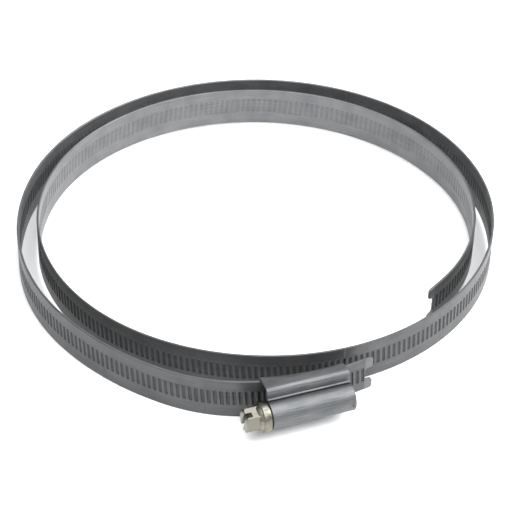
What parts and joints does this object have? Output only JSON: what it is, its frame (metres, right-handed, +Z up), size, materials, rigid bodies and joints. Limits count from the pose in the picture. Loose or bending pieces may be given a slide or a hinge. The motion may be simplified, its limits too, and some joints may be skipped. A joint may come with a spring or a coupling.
{
  "type": "hose clamp",
  "caption": "Worm-drive hose clamp lying open on its side: grooved steel strip coiled nearly twice round, pressed housing with barrel, slotted hex-head worm screw",
  "frame": {"origin": "middle of the bounding box on the lowest face, which is the saddle's lower fold", "axes": "+Z is up, across the strip's width (the clamp lies on its side, loop axis vertical); -Y is the front, where the housing is; +X is to the right, the strip's fixed end points that way and the screw's head points to -X"},
  "size_m": [0.1466, 0.1656, 0.0148],
  "materials": {
    "strip_steel": "zinc-plated cold-rolled strip, satin, fine lines along its length",
    "housing_steel": "zinc-plated pressed sheet, satin",
    "screw_steel": "zinc-plated and passivated, faint yellow"
  },
  "bodies": {
    "housing": {"saddle": "housing_steel", "screw_barrel_shell": "housing_steel", "strip_fixed_end": "strip_steel"},
    "screw": {"worm_screw": "screw_steel"},
    "link_01": {"strip_stretch_01": "strip_steel"},
    "link_02": {"strip_stretch_02": "strip_steel"},
    "link_03": {"strip_stretch_03": "strip_steel"},
    "link_04": {"strip_stretch_04": "strip_steel"},
    "link_05": {"strip_stretch_05": "strip_steel"},
    "link_06": {"strip_stretch_06": "strip_steel"},
    "link_07": {"strip_stretch_07": "strip_steel"},
    "link_08": {"strip_stretch_08": "strip_steel"},
    "link_09": {"strip_stretch_09": "strip_steel"},
    "link_10": {"strip_stretch_10": "strip_steel"},
    "link_11": {"strip_stretch_11": "strip_steel"},
    "link_12": {"strip_stretch_12": "strip_steel"},
    "link_13": {"strip_stretch_13": "strip_steel"},
    "link_14": {"strip_stretch_14": "strip_steel"},
    "link_15": {"strip_stretch_15": "strip_steel"},
    "link_16": {"strip_stretch_16": "strip_steel"},
    "link_17": {"strip_stretch_17": "strip_steel"},
    "link_18": {"strip_stretch_18": "strip_steel"},
    "link_19": {"strip_stretch_19": "strip_steel"},
    "link_20": {"strip_stretch_20": "strip_steel"},
    "link_21": {"strip_stretch_21": "strip_steel"},
    "link_22": {"strip_stretch_22": "strip_steel"},
    "link_23": {"strip_stretch_23": "strip_steel"},
    "free_end": {"strip_free_end": "strip_steel"}
  },
  "joints": [
    {"name": "screw_spin", "type": "hinge", "parent": "housing", "child": "screw", "pos_m": [0.01622, -0.07256, 0.0074], "axis": [-0.9336, -0.3584, 0], "continuous": true},
    {"name": "strip_bend_01", "type": "hinge", "parent": "housing", "child": "link_01", "pos_m": [-0.0014, -0.0704, 0.0074], "axis": [0, 0, -1], "range_deg": [-5, 3], "stiffness_Nm_per_rad": 50},
    {"name": "strip_bend_02", "type": "hinge", "parent": "link_01", "child": "link_02", "pos_m": [-0.02457, -0.06629, 0.0074], "axis": [0, 0, -1], "range_deg": [-5, 3]},
    {"name": "strip_bend_03", "type": "hinge", "parent": "link_02", "child": "link_03", "pos_m": [-0.0568, -0.04152, 0.0074], "axis": [0, 0, -1], "range_deg": [-5, 3]},
    {"name": "strip_bend_04", "type": "hinge", "parent": "link_03", "child": "link_04", "pos_m": [-0.07143, -0.01006, 0.0074], "axis": [0, 0, -1], "range_deg": [-5, 3]},
    {"name": "strip_bend_05", "type": "hinge", "parent": "link_04", "child": "link_05", "pos_m": [-0.06971, 0.02865, 0.0074], "axis": [0, 0, -1], "range_deg": [-5, 3]},
    {"name": "strip_bend_06", "type": "hinge", "parent": "link_05", "child": "link_06", "pos_m": [-0.05186, 0.05951, 0.0074], "axis": [0, 0, -1], "range_deg": [-5, 3]},
    {"name": "strip_bend_07", "type": "hinge", "parent": "link_06", "child": "link_07", "pos_m": [-0.02177, 0.07863, 0.0074], "axis": [0, 0, -1], "range_deg": [-5, 3]},
    {"name": "strip_bend_08", "type": "hinge", "parent": "link_07", "child": "link_08", "pos_m": [0.01256, 0.08161, 0.0074], "axis": [0, 0, -1], "range_deg": [-5, 3]},
    {"name": "strip_bend_09", "type": "hinge", "parent": "link_08", "child": "link_09", "pos_m": [0.04439, 0.06839, 0.0074], "axis": [0, 0, -1], "range_deg": [-5, 3]},
    {"name": "strip_bend_10", "type": "hinge", "parent": "link_09", "child": "link_10", "pos_m": [0.06576, 0.04288, 0.0074], "axis": [0, 0, -1], "range_deg": [-5, 3]},
    {"name": "strip_bend_11", "type": "hinge", "parent": "link_10", "child": "link_11", "pos_m": [0.07293, 0.01039, 0.0074], "axis": [0, 0, -1], "range_deg": [-5, 3]},
    {"name": "strip_bend_12", "type": "hinge", "parent": "link_11", "child": "link_12", "pos_m": [0.06411, -0.02243, 0.0074], "axis": [0, 0, -1], "range_deg": [-5, 3]},
    {"name": "strip_bend_13", "type": "hinge", "parent": "link_12", "child": "link_13", "pos_m": [0.04112, -0.04747, 0.0074], "axis": [0, 0, -1], "range_deg": [-5, 3]},
    {"name": "strip_bend_14", "type": "hinge", "parent": "link_13", "child": "link_14", "pos_m": [0.0094, -0.05899, 0.0074], "axis": [0, 0, -1], "range_deg": [-5, 3]},
    {"name": "strip_bend_15", "type": "hinge", "parent": "link_14", "child": "link_15", "pos_m": [-0.02406, -0.05455, 0.0074], "axis": [0, 0, -1], "range_deg": [-5, 3]},
    {"name": "strip_bend_16", "type": "hinge", "parent": "link_15", "child": "link_16", "pos_m": [-0.05052, -0.03599, 0.0074], "axis": [0, 0, -1], "range_deg": [-5, 3]},
    {"name": "strip_bend_17", "type": "hinge", "parent": "link_16", "child": "link_17", "pos_m": [-0.06542, -0.0073, 0.0074], "axis": [0, 0, -1], "range_deg": [-5, 3]},
    {"name": "strip_bend_18", "type": "hinge", "parent": "link_17", "child": "link_18", "pos_m": [-0.0654, 0.02455, 0.0074], "axis": [0, 0, -1], "range_deg": [-5, 3]},
    {"name": "strip_bend_19", "type": "hinge", "parent": "link_18", "child": "link_19", "pos_m": [-0.05067, 0.05278, 0.0074], "axis": [0, 0, -1], "range_deg": [-5, 3]},
    {"name": "strip_bend_20", "type": "hinge", "parent": "link_19", "child": "link_20", "pos_m": [-0.02397, 0.07144, 0.0074], "axis": [0, 0, -1], "range_deg": [-5, 3]},
    {"name": "strip_bend_21", "type": "hinge", "parent": "link_20", "child": "link_21", "pos_m": [0.00831, 0.07566, 0.0074], "axis": [0, 0, -1], "range_deg": [-5, 3]},
    {"name": "strip_bend_22", "type": "hinge", "parent": "link_21", "child": "link_22", "pos_m": [0.03846, 0.06466, 0.0074], "axis": [0, 0, -1], "range_deg": [-5, 3]},
    {"name": "strip_bend_23", "type": "hinge", "parent": "link_22", "child": "link_23", "pos_m": [0.06011, 0.04098, 0.0074], "axis": [0, 0, -1], "range_deg": [-5, 3]},
    {"name": "strip_bend_24", "type": "hinge", "parent": "link_23", "child": "free_end", "pos_m": [0.06735, 0.01388, 0.0074], "axis": [0, 0, -1], "range_deg": [-5, 3]}
  ],
  "couplings": [
    {"joint": "strip_bend_02", "follows": "strip_bend_01", "ratio": 1},
    {"joint": "strip_bend_03", "follows": "strip_bend_01", "ratio": 1},
    {"joint": "strip_bend_04", "follows": "strip_bend_01", "ratio": 1},
    {"joint": "strip_bend_05", "follows": "strip_bend_01", "ratio": 1},
    {"joint": "strip_bend_06", "follows": "strip_bend_01", "ratio": 1},
    {"joint": "strip_bend_07", "follows": "strip_bend_01", "ratio": 1},
    {"joint": "strip_bend_08", "follows": "strip_bend_01", "ratio": 1},
    {"joint": "strip_bend_09", "follows": "strip_bend_01", "ratio": 1},
    {"joint": "strip_bend_10", "follows": "strip_bend_01", "ratio": 1},
    {"joint": "strip_bend_11", "follows": "strip_bend_01", "ratio": 1},
    {"joint": "strip_bend_12", "follows": "strip_bend_01", "ratio": 1},
    {"joint": "strip_bend_13", "follows": "strip_bend_01", "ratio": 1},
    {"joint": "strip_bend_14", "follows": "strip_bend_01", "ratio": 1},
    {"joint": "strip_bend_15", "follows": "strip_bend_01", "ratio": 1},
    {"joint": "strip_bend_16", "follows": "strip_bend_01", "ratio": 1},
    {"joint": "strip_bend_17", "follows": "strip_bend_01", "ratio": 1},
    {"joint": "strip_bend_18", "follows": "strip_bend_01", "ratio": 1},
    {"joint": "strip_bend_19", "follows": "strip_bend_01", "ratio": 1},
    {"joint": "strip_bend_20", "follows": "strip_bend_01", "ratio": 1},
    {"joint": "strip_bend_21", "follows": "strip_bend_01", "ratio": 1},
    {"joint": "strip_bend_22", "follows": "strip_bend_01", "ratio": 1},
    {"joint": "strip_bend_23", "follows": "strip_bend_01", "ratio": 1},
    {"joint": "strip_bend_24", "follows": "strip_bend_01", "ratio": 1}
  ]
}
